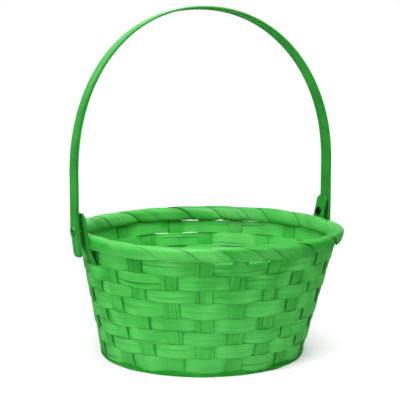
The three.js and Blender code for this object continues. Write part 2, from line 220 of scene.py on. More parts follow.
def make_piece(name, strips, material, body, nodes):
    """One object from the faces of its strips, on its body, in place of its CAD nodes."""
    points, faces, corners, start = [], [], [], 0
    for strip_points, strip_face_list, strip_corners in strips:
        points.append(strip_points)
        faces += [tuple(start + corner for corner in face) for face in strip_face_list]
        corners += strip_corners
        start += len(strip_points)
    mesh = bpy.data.meshes.new(name)
    mesh.from_pydata(np.concatenate(points).tolist(), [], faces)
    grain = mesh.attributes.new("grain", "FLOAT_VECTOR", "CORNER")
    grain.data.foreach_set("vector", np.array(corners, np.float32).ravel())
    mesh.polygons.foreach_set("use_smooth", [True] * len(mesh.polygons))
    mesh.set_sharp_from_angle(angle=math.radians(50))
    mesh.materials.append(material)
    mesh.update()
    piece = bpy.data.objects.new(name, mesh)
    bpy.context.scene.collection.objects.link(piece)
    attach(piece, body)
    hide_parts(*nodes)


class Wood:
    """A socket of a material's nodes. Sums and products with it add Math nodes."""

    def __init__(self, tree, socket=None):
        self.tree = tree
        self.socket = socket

    def node(self, kind, settings, inputs, output=0):
        made = self.tree.nodes.new(kind)
        for name, value in settings.items():
            if name == "stops":
                ramp = made.color_ramp
                while len(ramp.elements) < len(value):
                    ramp.elements.new(1.0)
                for element, (place, level) in zip(ramp.elements, value):
                    element.position = place
                    element.color = (level, level, level, 1.0)
            else:
                setattr(made, name, value)
        for name, value in inputs.items():
            if isinstance(value, Wood):
                self.tree.links.new(value.socket, made.inputs[name])
            else:
                made.inputs[name].default_value = value
        return Wood(self.tree, made.outputs[output] if made.outputs else None)

    def math(self, operation, first, second):
        return self.node("ShaderNodeMath", {"operation": operation}, {0: first, 1: second})

    def __add__(self, other):
        return self.math("ADD", self, other)

    def __radd__(self, other):
        return self.math("ADD", other, self)

    def __sub__(self, other):
        return self.math("SUBTRACT", self, other)

    def __rsub__(self, other):
        return self.math("SUBTRACT", other, self)

    def __mul__(self, other):
        return self.math("MULTIPLY", self, other)

    def __rmul__(self, other):
        return self.math("MULTIPLY", other, self)

    def blend(self, low, high):
        """From the colour low to the colour high, by this value."""
        first, second = (colour if isinstance(colour, Wood) else (*colour, 1.0) for colour in (low, high))
        return self.node("ShaderNodeMix", {"data_type": "RGBA"}, {0: self, 6: first, 7: second}, output=2)


def bamboo(name, half_width, middle=leaf_green, pale=pale_green, streaks=1.3, splits=0.3, roughness=0.40,
           edge_shade_share=0.15, pith_and_painted_light_tone=0.15, relief=0.00022, shine=0.3, glow=0.4, painted_light_stops=()):
    """Dyed split bamboo: long fibres, streaks that took more or less dye, fine splits and painted shade
    along the edges, where strips meet and lap.

    The back of a strip is the bamboo's pith, paler than its skin by the given pith tone; on the stakes and
    weavers that tone is raised, as painted light on the shaded inside of the basket. Light glows in a thin
    strip by the share glow. The painted light stops list heights and how far the skin is painted paler
    there: painted light low on the wall, so that its top looks shaded under the rim, and a painted
    highlight on the handle's crown."""
    material = bpy.data.materials.new(name)
    material.use_nodes = True
    tree = material.node_tree
    tree.nodes.clear()
    wood = Wood(tree)
    grain = wood.node("ShaderNodeAttribute", {"attribute_name": "grain"}, {}, output="Vector")

    def noise(scale, detail):
        stretched = wood.node("ShaderNodeVectorMath", {"operation": "MULTIPLY"}, {0: grain, 1: scale})
        levels = {"Vector": stretched, "Scale": 1.0, "Detail": detail, "Roughness": 0.55}
        return wood.node("ShaderNodeTexNoise", {}, levels)

    # Each scale is for the place along the fibres, the place across them and the strip's number
    broad = noise((16.0, 560.0, 1.0), 2.0)
    fine = noise((45.0, 2300.0, 1.0), 2.0)
    patch = noise((42.0, 40.0, 1.0), 1.0)
    crack = noise((9.0, 420.0, 1.7), 1.0)
    split = crack.node("ShaderNodeValToRGB", {"stops": [(0.30, 1.0), (0.36, 0.0)]}, {0: crack})
    across = wood.node("ShaderNodeSeparateXYZ", {}, {0: grain}, output=1)
    strip = wood.node("ShaderNodeSeparateXYZ", {}, {0: grain}, output=2)
    whole = wood.node("ShaderNodeMath", {"operation": "ROUND"}, {0: strip})
    chance = wood.node("ShaderNodeTexWhiteNoise", {"noise_dimensions": "1D"}, {"W": whole})
    unsigned = wood.node("ShaderNodeMath", {"operation": "ABSOLUTE"}, {0: strip})
    fraction = unsigned - wood.node("ShaderNodeMath", {"operation": "ROUND"}, {0: unsigned})
    pith = wood.math("LESS_THAN", strip, 0.0)
    # Painted shade along each edge of a strip, where strips meet and lap; the winding and the handle get
    # more.
    edge_nearness = wood.node("ShaderNodeMath", {"operation": "ABSOLUTE"}, {0: across * (1 / half_width)})
    edge = wood.node("ShaderNodeValToRGB", {"stops": [(0.90, 0.0), (1.0, 1.0)]}, {0: edge_nearness})
    mean_tone = 0.44
    patches = 1.5  # how far the tone varies from patch to patch along a strip
    spread = 0.16  # and from strip to strip
    tone = (broad + fine - 1.0) * (0.8 * streaks) + (patch - 0.5) * patches + mean_tone
    # The back is paler: partly the pith's own colour, and on the stakes and weavers partly painted light on
    # the shaded inside of the basket.
    tone = tone + (chance - 0.5) * spread + pith * pith_and_painted_light_tone + fraction
    colour = tone.blend(middle, pale)
    # Painted light by height: paler low on the wall, so that its top looks shaded under the rim, and a
    # painted highlight on the handle's crown.
    if painted_light_stops:
        place = wood.node("ShaderNodeTexCoord", {}, {}, output="Object")
        height = wood.node("ShaderNodeSeparateXYZ", {}, {0: place}, output=2)
        painted_light_share = wood.node("ShaderNodeValToRGB", {"stops": painted_light_stops}, {0: height})
        colour = (painted_light_share * (1 - pith)).blend(colour, painted_light_green)
    colour = (split * splits).blend(colour, deep_green)
    colour = (edge * edge_shade_share).blend(colour, deep_green)
    fibres = broad * 0.5 + fine * 0.5 - split * 0.8
    bump = wood.node("ShaderNodeBump", {}, {"Strength": 0.55, "Distance": relief, "Height": fibres})
    shader = wood.node(
        "ShaderNodeBsdfPrincipled",
        {},
        {
            "Base Color": colour,
            "Roughness": (fine - 0.5) * 0.22 + roughness,
            "Normal": bump,
            "IOR": 1.38,
            "Specular IOR Level": shine,
            "Subsurface Weight": glow,
            "Subsurface Radius": (0.4, 1.0, 0.4),
            "Subsurface Scale": 0.0015,
        },
    )
    wood.node("ShaderNodeOutputMaterial", {}, {"Surface": shader})
    return material


def floor_point(lane, along, way):
    """A point of the woven square: along runs down the splint, and lane counts the splints of one way."""
    aside = np.full_like(along, lane * floor_pitch)
    flat = (aside, along) if way == 0 else (along, aside)
    turned = floor_turn + foot_twist
    x = flat[0] * math.cos(turned) - flat[1] * math.sin(turned)
    y = flat[0] * math.sin(turned) + flat[1] * math.cos(turned)
    return np.stack([x, y, np.zeros_like(x)], axis=-1) + floor_shift


def splint_arm(index, way, end):
    """Half a splint's line from its last crossing on the floor to its end: centres, across and normals."""
    lane = index - (splints_each_way - 1) / 2
    lane_angle = stake_pitch * lane
    if way == 0:
        angle = end * (math.pi / 2 - lane_angle) + floor_turn
    else:
        angle = (lane_angle if end > 0 else math.pi - lane_angle) + floor_turn
    stake = round(angle / stake_pitch)
    outward = heading(swung(angle, 0.0))
    kink, start, further = floor_point(lane, np.array([end * (floor_reach + kink_gap), 0.0, float(end)]), way)
    lane_run = unit(further - start)
    last = (splints_each_way - 1) if end > 0 else 0
    level = floor_sway * (1 if (index + last + way) % 2 == 0 else -1)
    slope_angle = math.atan(wall_slope)
    bend_centre_height = floor_height + bend_radius
    bend_top = bend_centre_height - bend_radius * math.sin(slope_angle)
    bend_centre = foot_radius + wall_slope * bend_top - bend_radius * math.cos(slope_angle)
    bend_start = outward * bend_centre + floor_shift
    run = unit(bend_start - kink)
    centres, sides, normals = [], [], []
    for share in np.linspace(0, 1, kink_steps + 1)[:-1]:  # from the woven floor to the bend
        point = kink + (bend_start - kink) * share
        point[2] = floor_height + level * (1 - ease(max(0.0, (share - 0.4) / 0.6)))
        if share < 0.5:
            turning = unit(lane_run * (1 - 2 * share) + run * 2 * share)
        else:
            turning = unit(run * (2 - 2 * share) + outward * (2 * share - 1))
        centres.append(point)
        sides.append(np.cross((0, 0, 1), turning))
        normals.append(np.array([0.0, 0.0, 1.0]))
    for share in np.linspace(0, 1, bend_steps + 1):  # round the bend
        bend = (math.pi / 2 - slope_angle) * share
        height = bend_centre_height - bend_radius * math.cos(bend)
        inset = foot_radius + wall_slope * height - bend_centre - bend_radius * math.sin(bend)
        outward = heading(swung(angle, height))
        centres.append(wall_point(angle, height, -inset))
        sides.append(np.cross((0, 0, 1), outward))
        normals.append(-outward * math.sin(bend) + np.array([0, 0, math.cos(bend)]))
    for share in np.linspace(0, 1, stake_steps + 1)[1:]:  # and up the wall
        height = bend_top + (stake_top - bend_top) * share
        row = (height - row_low[0] - row_height / 2) / row_pitch + 1
        pushed = stake_sway * math.cos(math.pi * (stake + row_count - row)) * min(1.0, 8 * share)
        if row > row_count + 0.5:
            pushed *= max(0.0, 1 - 2 * (row - row_count - 0.5))
        outward = heading(swung(angle, height))
        centres.append(wall_point(angle, height, pushed))
        sides.append(np.cross((0, 0, 1), outward))
        normals.append(-outward * math.cos(slope_angle) + np.array([0, 0, math.sin(slope_angle)]))
    return np.array(centres), np.array(sides), np.array(normals)


def splint_strip(index, way):
    """One splint from rim to rim: up one side, across the woven floor and up the other side."""
    lane = index - (splints_each_way - 1) / 2
    number = 10 * (way * splints_each_way + index + 1)
    along = np.linspace(-floor_reach, floor_reach, floor_steps + 1)
    floor = floor_point(lane, along, way)
    wave = np.cos(math.pi * (index + way + along / floor_pitch + (splints_each_way - 1) / 2))
    floor[:, 2] = floor_height + floor_sway * np.tanh(4 * wave) / math.tanh(4)
    lane_run = unit(floor[-1] * (1, 1, 0) - floor[0] * (1, 1, 0))
    side = np.cross((0, 0, 1), lane_run)
    far = splint_arm(index, way, 1)
    near = splint_arm(index, way, -1)
    centre = np.concatenate([near[0][::-1], floor, far[0]])
    across = np.concatenate([-near[1][::-1], np.tile(side, (len(floor), 1)), far[1]])
    normal = np.concatenate([near[2][::-1], np.tile((0.0, 0.0, 1.0), (len(floor), 1)), far[2]])
    length = np.concatenate([[0], np.cumsum(np.linalg.norm(np.diff(centre, axis=0), axis=1))])
    places = rows_across(9)
    half = stake_width / 2 * (1 - splint_waver + splint_waver * sway(length, number, swell_length=0.07))
    aside = splint_wander * sway(length, number + 1, swell_length=0.11)
    ridges = ridge_height * np.sin(places * 9 + number) + furrow_depth * np.sin(places * 17 + 2 * number)
    crown = splint_crown * (1 - places ** 2)
    shift = half[:, None] * places[None, :] + aside[:, None]
    middle = centre[:, None] + across[:, None] * shift[:, :, None]
    outer = -normal[:, None] * (splint_thickness / 2 + (crown + ridges))[None, :, None]
    inner = normal[:, None] * (splint_thickness / 2 - crown)[None, :, None]
    return strip_faces(middle + outer, middle + inner, length, places * stake_width / 2, number)


# Stakes: their backs are painted paler than pith alone, as light on the shaded inside of the basket.
stake_bamboo = bamboo(
    "stake_bamboo", stake_width / 2, middle=(0.008, 0.22, 0.012), pale=(0.050, 0.44, 0.055), splits=0.45,
    # Painted light: the stakes' skin is paler towards the floor.
    pith_and_painted_light_tone=0.5, painted_light_stops=[(0.0, 0.25), (0.095, 0.0)],
)
for way in range(2):
    for index in range(splints_each_way):
        node = f"splint_{way * splints_each_way + index + 1:02d}"
        make_piece(node + "_bamboo", [splint_strip(index, way)], stake_bamboo, "basket", [node])


# Foot hoop: a thin narrow strip of the same bamboo round the lower edge. It is split by hand, so its
# upper edge is uneven, and it lies outside the stakes where they turn up.
foot_hoop_top = 0.0039
foot_hoop_low = 0.0001
foot_hoop_dip = 0.0008  # its upper edge is lower where the lowest weaver hangs over a stake
foot_hoop_thickness = 0.0010
foot_hoop_inner = 0.0004
foot_hoop_waver = 0.0002
# Painted shade: the hoop's number makes it darker, for the dark gap between it and the lowest weaver.
foot_hoop_number = 299.7  # the fraction makes it darker
foot_steps = 960
splinter_start = 18.40  # in stakes
splinter_reach = 0.95
splinter_half_width = 0.0011
splinter_thickness = 0.0004
splinter_height = 0.0028
splinter_inner = 0.0018
splinter_spring = 0.0050  # its free end stands this far off the hoop
splinter_tilt = 0.0006
splinter_droop = 0.0006  # it sinks along its length
splinter_lift = 0.0010  # and springs up again at its end
splinter_number = 309.6


def foot_strip():
    angle = np.arange(foot_steps) * 2 * math.pi / foot_steps
    places = rows_across(4)
    over = np.cos(math.pi * angle / stake_pitch)  # 1 where the lowest weaver lies outside a stake
    top = foot_hoop_top - foot_hoop_dip * np.clip(over, 0, 1)
    top = top + foot_hoop_waver * (np.sin(5 * angle + 1) + np.sin(31 * angle))
    height = (places[None, :] + 1) / 2 * top[:, None] + foot_hoop_low
    inner = foot_hoop_inner + foot_hoop_waver * (np.sin(9 * angle + 2) + np.sin(17 * angle))[:, None]
    front = wall_point(angle[:, None], height, inner + foot_hoop_thickness)
    back = wall_point(angle[:, None], height, inner)
    along = np.append(angle, 2 * math.pi) * foot_radius
    return strip_faces(front, back, along, places * foot_hoop_top / 2, foot_hoop_number, closed=True)


def foot_splinter():
    """A sliver that has split off the foot hoop and stands away from it at one end."""
    share = np.linspace(0, 1, 41)
    angle = (splinter_start + splinter_reach * share) * stake_pitch
    places = rows_across(3)
    half = splinter_half_width * np.sin(math.pi * (0.08 + 0.9 * share)) ** 0.7
    middle = splinter_height - splinter_droop * share + splinter_lift * share ** 3
    height = middle[:, None] + half[:, None] * places[None, :]
    inner = (splinter_inner + splinter_spring * share ** 2)[:, None] + splinter_tilt * places[None, :]
    front = wall_point(angle[:, None], height, inner + splinter_thickness)
    back = wall_point(angle[:, None], height, inner)
    return strip_faces(front, back, angle * foot_radius, places * splinter_half_width, splinter_number)


foot_bamboo = bamboo("foot_bamboo", foot_hoop_top / 2, middle=(0.010, 0.27, 0.014), pale=(0.055, 0.47, 0.060))
make_piece("foot_hoop_bamboo", [foot_strip(), foot_splinter()], foot_bamboo, "basket", ["foot_hoop"])


# Weavers: eight rows of flat bamboo strip, each row one ring over one stake and under the next. The dry
# strip bows where it crosses a stake, and its lower edge stands off because the wall leans outward.
weaver_thickness = 0.00045
weaver_bulge = 0.00120  # a strip bows this far out where it crosses outside a stake
weaver_dive = 0.00125  # and this far in where it crosses inside one
weaver_tilt = 0.00024  # the lower edge stands out, and the upper edge lies in
weaver_crown = 0.00010
weaver_gap = 0.0001
weaver_sag = 0.00045  # the lower edge hangs down over a stake
weaver_pull = 0.0003  # and the upper edge is pulled down there
seam_waver = 0.0006
foot_sag = 0.0016  # how far the lowest row hangs down to the foot hoop
foot_tuck = 0.0005  # and further where it runs inside a stake, down behind the hoop
rim_tuck = 0.0019  # how far the top row reaches up under the rim
seam_rise = (0.0, -0.0004, -0.0006, -0.0006, -0.0010, 0.0011, 0.0, 0.0008, 0.0)
open_seams = {
    row_count - 1: {4.5: 0.0003, 5.5: 0.0003},
    row_count: {2.5: 0.0013, 3.5: 0.0013, 4.5: 0.0013, 16.4: 0.0032, 17.5: 0.0032},
}
slit_reach = 0.46  # a seam stands open this far to each side, in stakes
slit_end = 0.12  # and closes over this length
ear_row = row_count - 1
ear_pass = 0.0040  # the row that holds the ears runs this far out over them
ear_flat = 0.29  # within this distance of the ear's middle, in stakes
ear_fade = 0.8
weaver_number = 400.0
weaver_seed = 40
seam_seed = 700
weaver_steps = 20  # from one stake to the next


def over_ears(phase):
    """1 where the row runs over an ear, and 0 where it keeps to the wall."""
    away = np.abs((phase + stake_count / 4) % (stake_count / 2) - stake_count / 4)
    return ease(np.clip((ear_fade - away) / (ear_fade - ear_flat), 0, 1))


def row_line(line, phase):
    """The uneven seam between two rows, seam 0 under the lowest."""
    height = row_low[0] + line * row_pitch - (row_pitch - row_height) / 2 + seam_rise[line]
    draw = np.random.default_rng(seam_seed + line)
    knots = draw.uniform(-seam_waver, seam_waver, stake_count + 1)
    knots[-1] = knots[0]
    return height + np.interp(phase, np.arange(stake_count + 1), knots)


def slit(line, phase):
    """How far each edge of a seam draws back where it stands open between two stakes."""
    drawn = np.zeros_like(phase)
    for middle, depth in open_seams.get(line, {}).items():
        inside = np.clip((slit_reach - np.abs(phase - middle)) / slit_end, 0, 1)
        drawn = np.maximum(drawn, depth * ease(inside))
    return drawn


def weaver_strip(row):
    steps = stake_count * weaver_steps
    phase = np.arange(steps) / weaver_steps
    angle = phase * stake_pitch
    over = -np.cos(math.pi * (phase + row_count - row))  # 1 outside a stake, and -1 inside the next
    crossing = over * (1.2 - 0.2 * over ** 2)
    draw = np.random.default_rng(weaver_seed + row)
    knots = draw.uniform(-1, 1, (3, stake_count + 1))
    knots[:, -1] = knots[:, 0]
    looser, prouder = (np.interp(phase, np.arange(stake_count + 1), line) for line in knots[::2])
    hang = np.tanh(2.2 * np.clip(over, 0, 1)) * (1 + 0.5 * looser) * weaver_sag
    low = row_line(row - 1, phase) + weaver_gap / 2 - hang
    high = row_line(row, phase) - weaver_gap / 2 - weaver_pull * np.clip(2 * over - 1, 0, 1)
    if row == 1:
        low = low - foot_sag - foot_tuck * (1 - np.clip(over, 0, 1))
    if row == row_count:
        high = high + rim_tuck
    low = low + slit(row - 1, phase)
    high = high - slit(row, phase)
    places = rows_across(5)
    share = (places[None, :] + 1) / 2
    height = low[:, None] * (1 - share) + high[:, None] * share
    depth = np.where(crossing > 0, weaver_bulge * (1 + 0.2 * prouder), weaver_dive)
    offset = (depth * crossing)[:, None]
    offset = offset - weaver_tilt * places[None, :] * np.clip(1 + 0.7 * crossing, 0, 1)[:, None]
    offset = offset + weaver_crown * (1 - places[None, :] ** 2) * crossing[:, None]
    if row == ear_row:
        at_ear = over_ears(phase)[:, None]
        offset = offset * (1 - at_ear) + ear_pass * at_ear
    front = wall_point(angle[:, None], height, offset + weaver_thickness / 2)
    back = wall_point(angle[:, None], height, offset - weaver_thickness / 2)
    radius = foot_radius + wall_slope * row_low[row - 1]
    along = np.append(angle, 2 * math.pi) * radius
    return strip_faces(front, back, along, places * row_height / 2, weaver_number + 10 * row, closed=True)


# Weavers: their backs are painted paler than pith alone, as light on the shaded inside of the basket.
weaver_bamboo = bamboo(
    "weaver_bamboo", row_height / 2, middle=(0.010, 0.265, 0.015), pale=(0.075, 0.50, 0.082), splits=0.55,
    # Painted light: the weavers' skin is paler low on the wall.
    pith_and_painted_light_tone=0.5, shine=0.5, painted_light_stops=[(0.0, 0.40), (0.075, 0.0)],
)
for row in range(1, row_count + 1):
    node = f"weaver_{row}"
    make_piece(node + "_bamboo", [weaver_strip(row)], weaver_bamboo, "basket", [node])


# Hoops of the rim: two split bamboo hoops that pinch the ends of the stakes. The wound strip hides them
# but for a glimpse at the slots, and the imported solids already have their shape.
def solid_bamboo(name, colour, scale):
    """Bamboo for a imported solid, which has no grain of its own: streaks by its place."""
    material = bpy.data.materials.new(name)
    material.use_nodes = True
    tree = material.node_tree
    tree.nodes.clear()
    wood = Wood(tree)
    place = wood.node("ShaderNodeTexCoord", {}, {}, output="Object")
    stretched = wood.node("ShaderNodeVectorMath", {"operation": "MULTIPLY"}, {0: place, 1: scale})
    streak = wood.node("ShaderNodeTexNoise", {}, {"Vector": stretched, "Scale": 1.0, "Detail": 3.0})
    tone = (streak * 1.3 - 0.2).blend(deep_green, colour)
    bump = wood.node("ShaderNodeBump", {}, {"Strength": 0.4, "Distance": 0.0003, "Height": streak})
    shader = wood.node(
        "ShaderNodeBsdfPrincipled",
        {},
        {"Base Color": tone, "Roughness": streak * 0.2 + 0.45, "Normal": bump},
    )
    wood.node("ShaderNodeOutputMaterial", {}, {"Surface": shader})
    return material


hoop_bamboo = solid_bamboo("hoop_bamboo", leaf_green, (30.0, 30.0, 1100.0))
for node in ("outer_hoop", "inner_hoop"):
    frame["nodes"][node].data.materials.clear()
    frame["nodes"][node].data.materials.append(hoop_bamboo)


# Rim winding: a broad flat strip wound round both hoops like a rope, through the slots between the
# stakes. It comes up inside, goes over the top and down the outside, and each turn laps over its
# neighbour, so that long slanting edges show on both sides of the rim.
wind_half_height = 0.0055
wind_middle = 0.0003  # the roll's middle lies this far outside the middle of the stakes
wind_half_depth = 0.00465
wind_fullness = 2.6
wind_thickness = 0.0005
wind_half_width = 0.0085
wind_girth = 0.033  # once round the roll
wind_stake_step = 0.030  # from stake to stake along the rim
wind_turns = stake_count
wind_advance = 2.0  # stakes passed in one turn
wind_reach = 0.76  # half the strip's width, measured along the rim, in stakes
wind_show = 0.60  # the part of it that its neighbour leaves in sight
wind_slot = 0.20  # it gathers to this under the roll, where it goes through a slot
wind_slot_start = 0.36  # of a turn from the top
wind_lap = 0.0008
wind_crown = 0.0009
wind_swell = 0.0005
wind_bed = 0.0010  # the strip lies this far inside the roll's outline, before it laps
wind_number = 1000.0
wind_seed = 900
wind_steps = 56
# Turns that stray along the rim, are painted paler or darker as painted light and shade (paler at the
# back left, darker towards the front right), or stand up more or less at their edge
wind_strays = {
    0: 0.3, 4: 0.2, 5: -0.1, 6: 0.2, 12: -0.1, 13: 0.25, 14: 0.3, 17: -0.5, 18: -0.25, 22: 0.45, 23: -0.15,
}
wind_painted_tones = {
    5: 0.25, 6: 0.3, 7: 0.3, 8: 0.25, 14: -0.1, 15: -0.1, 16: -0.25, 17: -0.4, 18: -0.4, 19: -0.35, 20: -0.2,
}
wind_proud = {1: 1.6, 3: 1.8, 6: 1.8, 15: 0.15, 17: 2.2}


def oval(values, fullness):
    """A cosine or sine, made fuller so that the curve it draws lies between a circle and a rounded box."""
    return np.sign(values) * np.abs(values) ** (2 / fullness)


def wind_strip(turn):
    """One turn of the strip, from slot to slot: under the roll, up inside, over the top and down outside."""
    draw = np.random.default_rng(wind_seed + turn)
    shift, twist, swell = draw.uniform(-1, 1, 3)
    around = np.linspace(-0.5, 0.5, wind_steps + 1)  # 0 on top, 0.25 outside, 0.5 under the roll
    gather = ease(np.clip((np.abs(around) - wind_slot_start) / (0.5 - wind_slot_start), 0, 1))
    reach = wind_reach * (1 - gather) + wind_slot * gather
    stray = wind_strays.get(turn, 0.0) + 0.04 * shift + 0.1 * twist * around
    outside = np.tanh(14 * (around - 0.05))  # the lapping edge changes sides just outside the top
    stray = stray + (wind_reach - wind_show) * outside
    centre = turn + 1.5 + wind_advance * around + stray * (1 - gather)
    places = rows_across(9)
    lap = -outside[:, None] * places[None, :]
    proud = np.where(lap > 0, wind_proud.get(turn, 1.0), 1.0)
    crown = wind_crown * (1 - places[None, :] ** 2) * (1 - 0.5 * gather[:, None])
    lift = wind_lap * (1 + proud * lap) + crown
    lift = lift + wind_swell * swell * np.sin(math.pi * (around[:, None] + 0.5))
    phase = 2 * math.pi * around[:, None]
    angle = (centre[:, None] + reach[:, None] * places[None, :]) * stake_pitch

    def side(extra):
        out = lift + extra - wind_bed
        height = rim_middle + (wind_half_height + out) * oval(np.cos(phase), wind_fullness)
        offset = wind_middle + (wind_half_depth + out) * oval(np.sin(phase), wind_fullness)
        return wall_point(angle, height, offset)

    along = around * math.hypot(wind_girth, wind_advance * wind_stake_step)
    # The fraction paints the turn paler or darker: painted light and shade on the rim.
    number = wind_number + 10 * turn + wind_painted_tones.get(turn, 0.0)
    return strip_faces(side(wind_thickness), side(0.0), along, places * wind_half_width, number)


# Strong painted shade along the winding's edges stands for the shadow under each raised lap.
winding_bamboo = bamboo(
    "winding_bamboo", wind_half_width, middle=(0.012, 0.28, 0.017), pale=(0.11, 0.54, 0.11), streaks=0.8,
    splits=0.2, edge_shade_share=0.75, shine=0.5,
)
winding = [wind_strip(turn) for turn in range(wind_turns)]
make_piece("rim_winding_bamboo", winding, winding_bamboo, "basket", ["rim_winding"])


# Ears: two short laths that carry the handle. Each is pushed down behind a weaver, bends out over the
# rim and ends above it with its corners cut off. The rivet through its upper half fills its hole.
ear_width = 0.015
ear_thickness = 0.0025
ear_lean = 0.2
ear_corner = 0.003
ear_round = 0.0004  # how far the faces fall away at the edges
ear_waver = 0.0001
ear_off_stake = 0.00075  # the ear's inner face lies this far outside the middle of the stakes
ear_off_rim = 0.0003
ear_number = 1500.0
pivot_height = frame["joints"][0]["pos_m"][2]


def ear_strip(end):
    node = "right_ear" if end > 0 else "left_ear"
    bend_start = row_low[ear_row]
    rim_face = foot_radius + wall_slope * rim_middle - ear_dent
    rim_face += wind_middle + wind_half_depth + ear_off_rim
    rim_low = rim_middle - wind_half_height / 2
    rim_high = rim_middle + wind_half_height / 2

    def face_on_wall(height):
        return foot_radius + wall_slope * height - dent(np.array(0.0), height) + ear_off_stake

    heights = [ear_bottom, bend_start, rim_low, rim_high, ear_top]
    faces = [face_on_wall(ear_bottom), face_on_wall(bend_start), rim_face]
    faces += [rim_face + ear_lean * (height - rim_middle) for height in (rim_high, ear_top)]
    height = np.linspace(ear_bottom, ear_top, 61)
    radius = np.interp(height, heights, faces)
    padded = np.pad(radius, 3, mode="reflect", reflect_type="odd")
    smooth = np.convolve(padded, np.full(7, 1 / 7), mode="valid")
    corner = np.clip((height - (ear_top - ear_corner)) / ear_corner, 0, 1)
    half = ear_width / 2 - ear_corner * corner + ear_waver * np.sin(height * 300)
    places = rows_across(9)
    lean = 1 - height / rim_middle
    centre_x = floor_shift[0] * lean
    y = floor_shift[1] * lean[:, None] + half[:, None] * places[None, :]
    z = np.repeat(height[:, None], len(places), axis=1)
    soft = ear_round * places[None, :] ** 8

    def side(inset):
        x = end * (smooth[:, None] + inset) + centre_x[:, None]
        return np.stack([x, y, z], axis=-1)

    front = side(ear_thickness - soft)
    back = side(soft)
    return node, strip_faces(front, back, height, places * ear_width / 2, ear_number + 10 * end)


lath_middle = (0.004, 0.16, 0.008)
lath_pale = (0.018, 0.31, 0.026)
ear_bamboo = bamboo("ear_bamboo", ear_width / 2, middle=lath_middle, pale=lath_pale, splits=0.7, glow=0.0)
for end in (-1, 1):
    ear_node, ear_faces = ear_strip(end)
    make_piece(ear_node + "_lath", [ear_faces], ear_bamboo, "basket", [ear_node])


# Handle: one long lath of thicker bamboo, bent over steam into a tall bow. Its legs hang outside the
# ears on the two rivets, which fill their holes, and their lower ends have the corners cut off.
handle_thickness = 0.003
handle_width = 0.0126
handle_corner = 0.0022
handle_spare = 0.0003  # the lath is this much wider than that, on each side
handle_waver = 0.00012
handle_crown = 0.00015  # its faces stand up this far in the middle
handle_round = 0.00035  # and fall away this far at the edges
handle_number = 1700.0
handle_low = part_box("handle")[0].z
bow_base = pivot_height + 0.0475
bow_rise = 0.143
bow_fullness = 2.1
bow_lean = -0.0045
leg_inset = 0.0030  # the left leg draws in below its rivet
inset_start = pivot_height + 0.002
crown_thinning = 0.0006  # half the thickness that was shaved off where it bends most
crown_twist = math.radians(5)  # and it has turned a little towards the front there
handle_half_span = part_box("handle")[1].x - handle_thickness / 2


def handle_strip():
    leg = np.linspace(handle_low, bow_base, 40)[:-1]
    turn = np.linspace(0, math.pi, 181)
    aside = oval(np.cos(turn), bow_fullness)
    rise = np.abs(oval(np.sin(turn), bow_fullness))
    inset = leg_inset * np.clip((inset_start - leg) / (inset_start - handle_low), 0, 1)
    x = np.concatenate([
        np.full_like(leg, handle_half_span),
        handle_half_span * aside + bow_lean * rise ** 2,
        inset[::-1] - handle_half_span,
    ])
    z = np.concatenate([leg, bow_base + bow_rise * rise, leg[::-1]])
    centre = np.stack([x, np.zeros_like(x), z], axis=-1)
    tangent = unit(np.gradient(centre, axis=0))
    upright = np.cross((0, 1, 0), tangent)
    straight = np.zeros_like(leg)
    crown = np.concatenate([straight, rise ** 1.5, straight])[:, None]
    front_way = np.array([0.0, -1.0, 0.0])
    normal = upright * np.cos(crown_twist * crown) - front_way * np.sin(crown_twist * crown)
    length = np.concatenate([[0], np.cumsum(np.linalg.norm(np.diff(centre, axis=0), axis=1))])
    to_end = np.minimum(length, length[-1] - length)
    half = handle_width / 2 + handle_spare - np.clip(handle_corner - to_end, 0, None)
    half = half + handle_waver * sway(length, 31, swell_length=0.16)
    places = rows_across(9)
    across = np.cross(tangent, normal)
    rounded = handle_thickness / 2 + handle_crown - handle_round * np.abs(places) ** 24
    rounded = rounded - crown_thinning * crown
    middle = centre[:, None] + across[:, None] * (half[:, None, None] * places[None, :, None])
    face = normal[:, None] * rounded[:, :, None]
    return strip_faces(middle + face, middle - face, length, places * handle_width / 2, handle_number)


handle_bamboo = bamboo(
    "handle_bamboo", handle_width / 2, middle=(0.004, 0.18, 0.008), pale=(0.026, 0.34, 0.032), streaks=0.8,
    # Painted shade along the handle's edges.
    splits=0.25, roughness=0.34, edge_shade_share=0.35, relief=0.00004, shine=0.4, glow=0.0,
    # Painted highlight: the skin is paler towards the crown.
    painted_light_stops=[(0.22, 0.0), (0.31, 0.6)],
)
make_piece("handle_lath", [handle_strip()], handle_bamboo, "handle", ["handle"])


# Rivets: hollow steel rivets with overspray of the green dye. The domed head lies on the ear's inner
# face, and the open end is curled over on the handle's outer face.
rivet_head_radius = 0.0042
rivet_head_thickness = 0.0016
rivet_radius = 0.0016
rivet_curl_radius = 0.0043
rivet_curl_thickness = 0.0014
rivet_curl_gap = 0.0002  # between the curled end and the handle's face
rivet_head_bite = 0.0003  # the head is pressed this far into the ear
rivet_bore = 0.0023
rivet_hollow = 0.0006  # how deep the hollow is drawn in its middle
rivet_hollow_side = 0.0004
rivet_segments = 48
round_steps = 12
bare_steel = (0.010, 0.018, 0.011)
oversprayed = (0.020, 0.30, 0.028)
# Painted shade for the hollow of the curled end, which is too shallow to darken by itself.
painted_hollow_shade = (0.001, 0.004, 0.001)


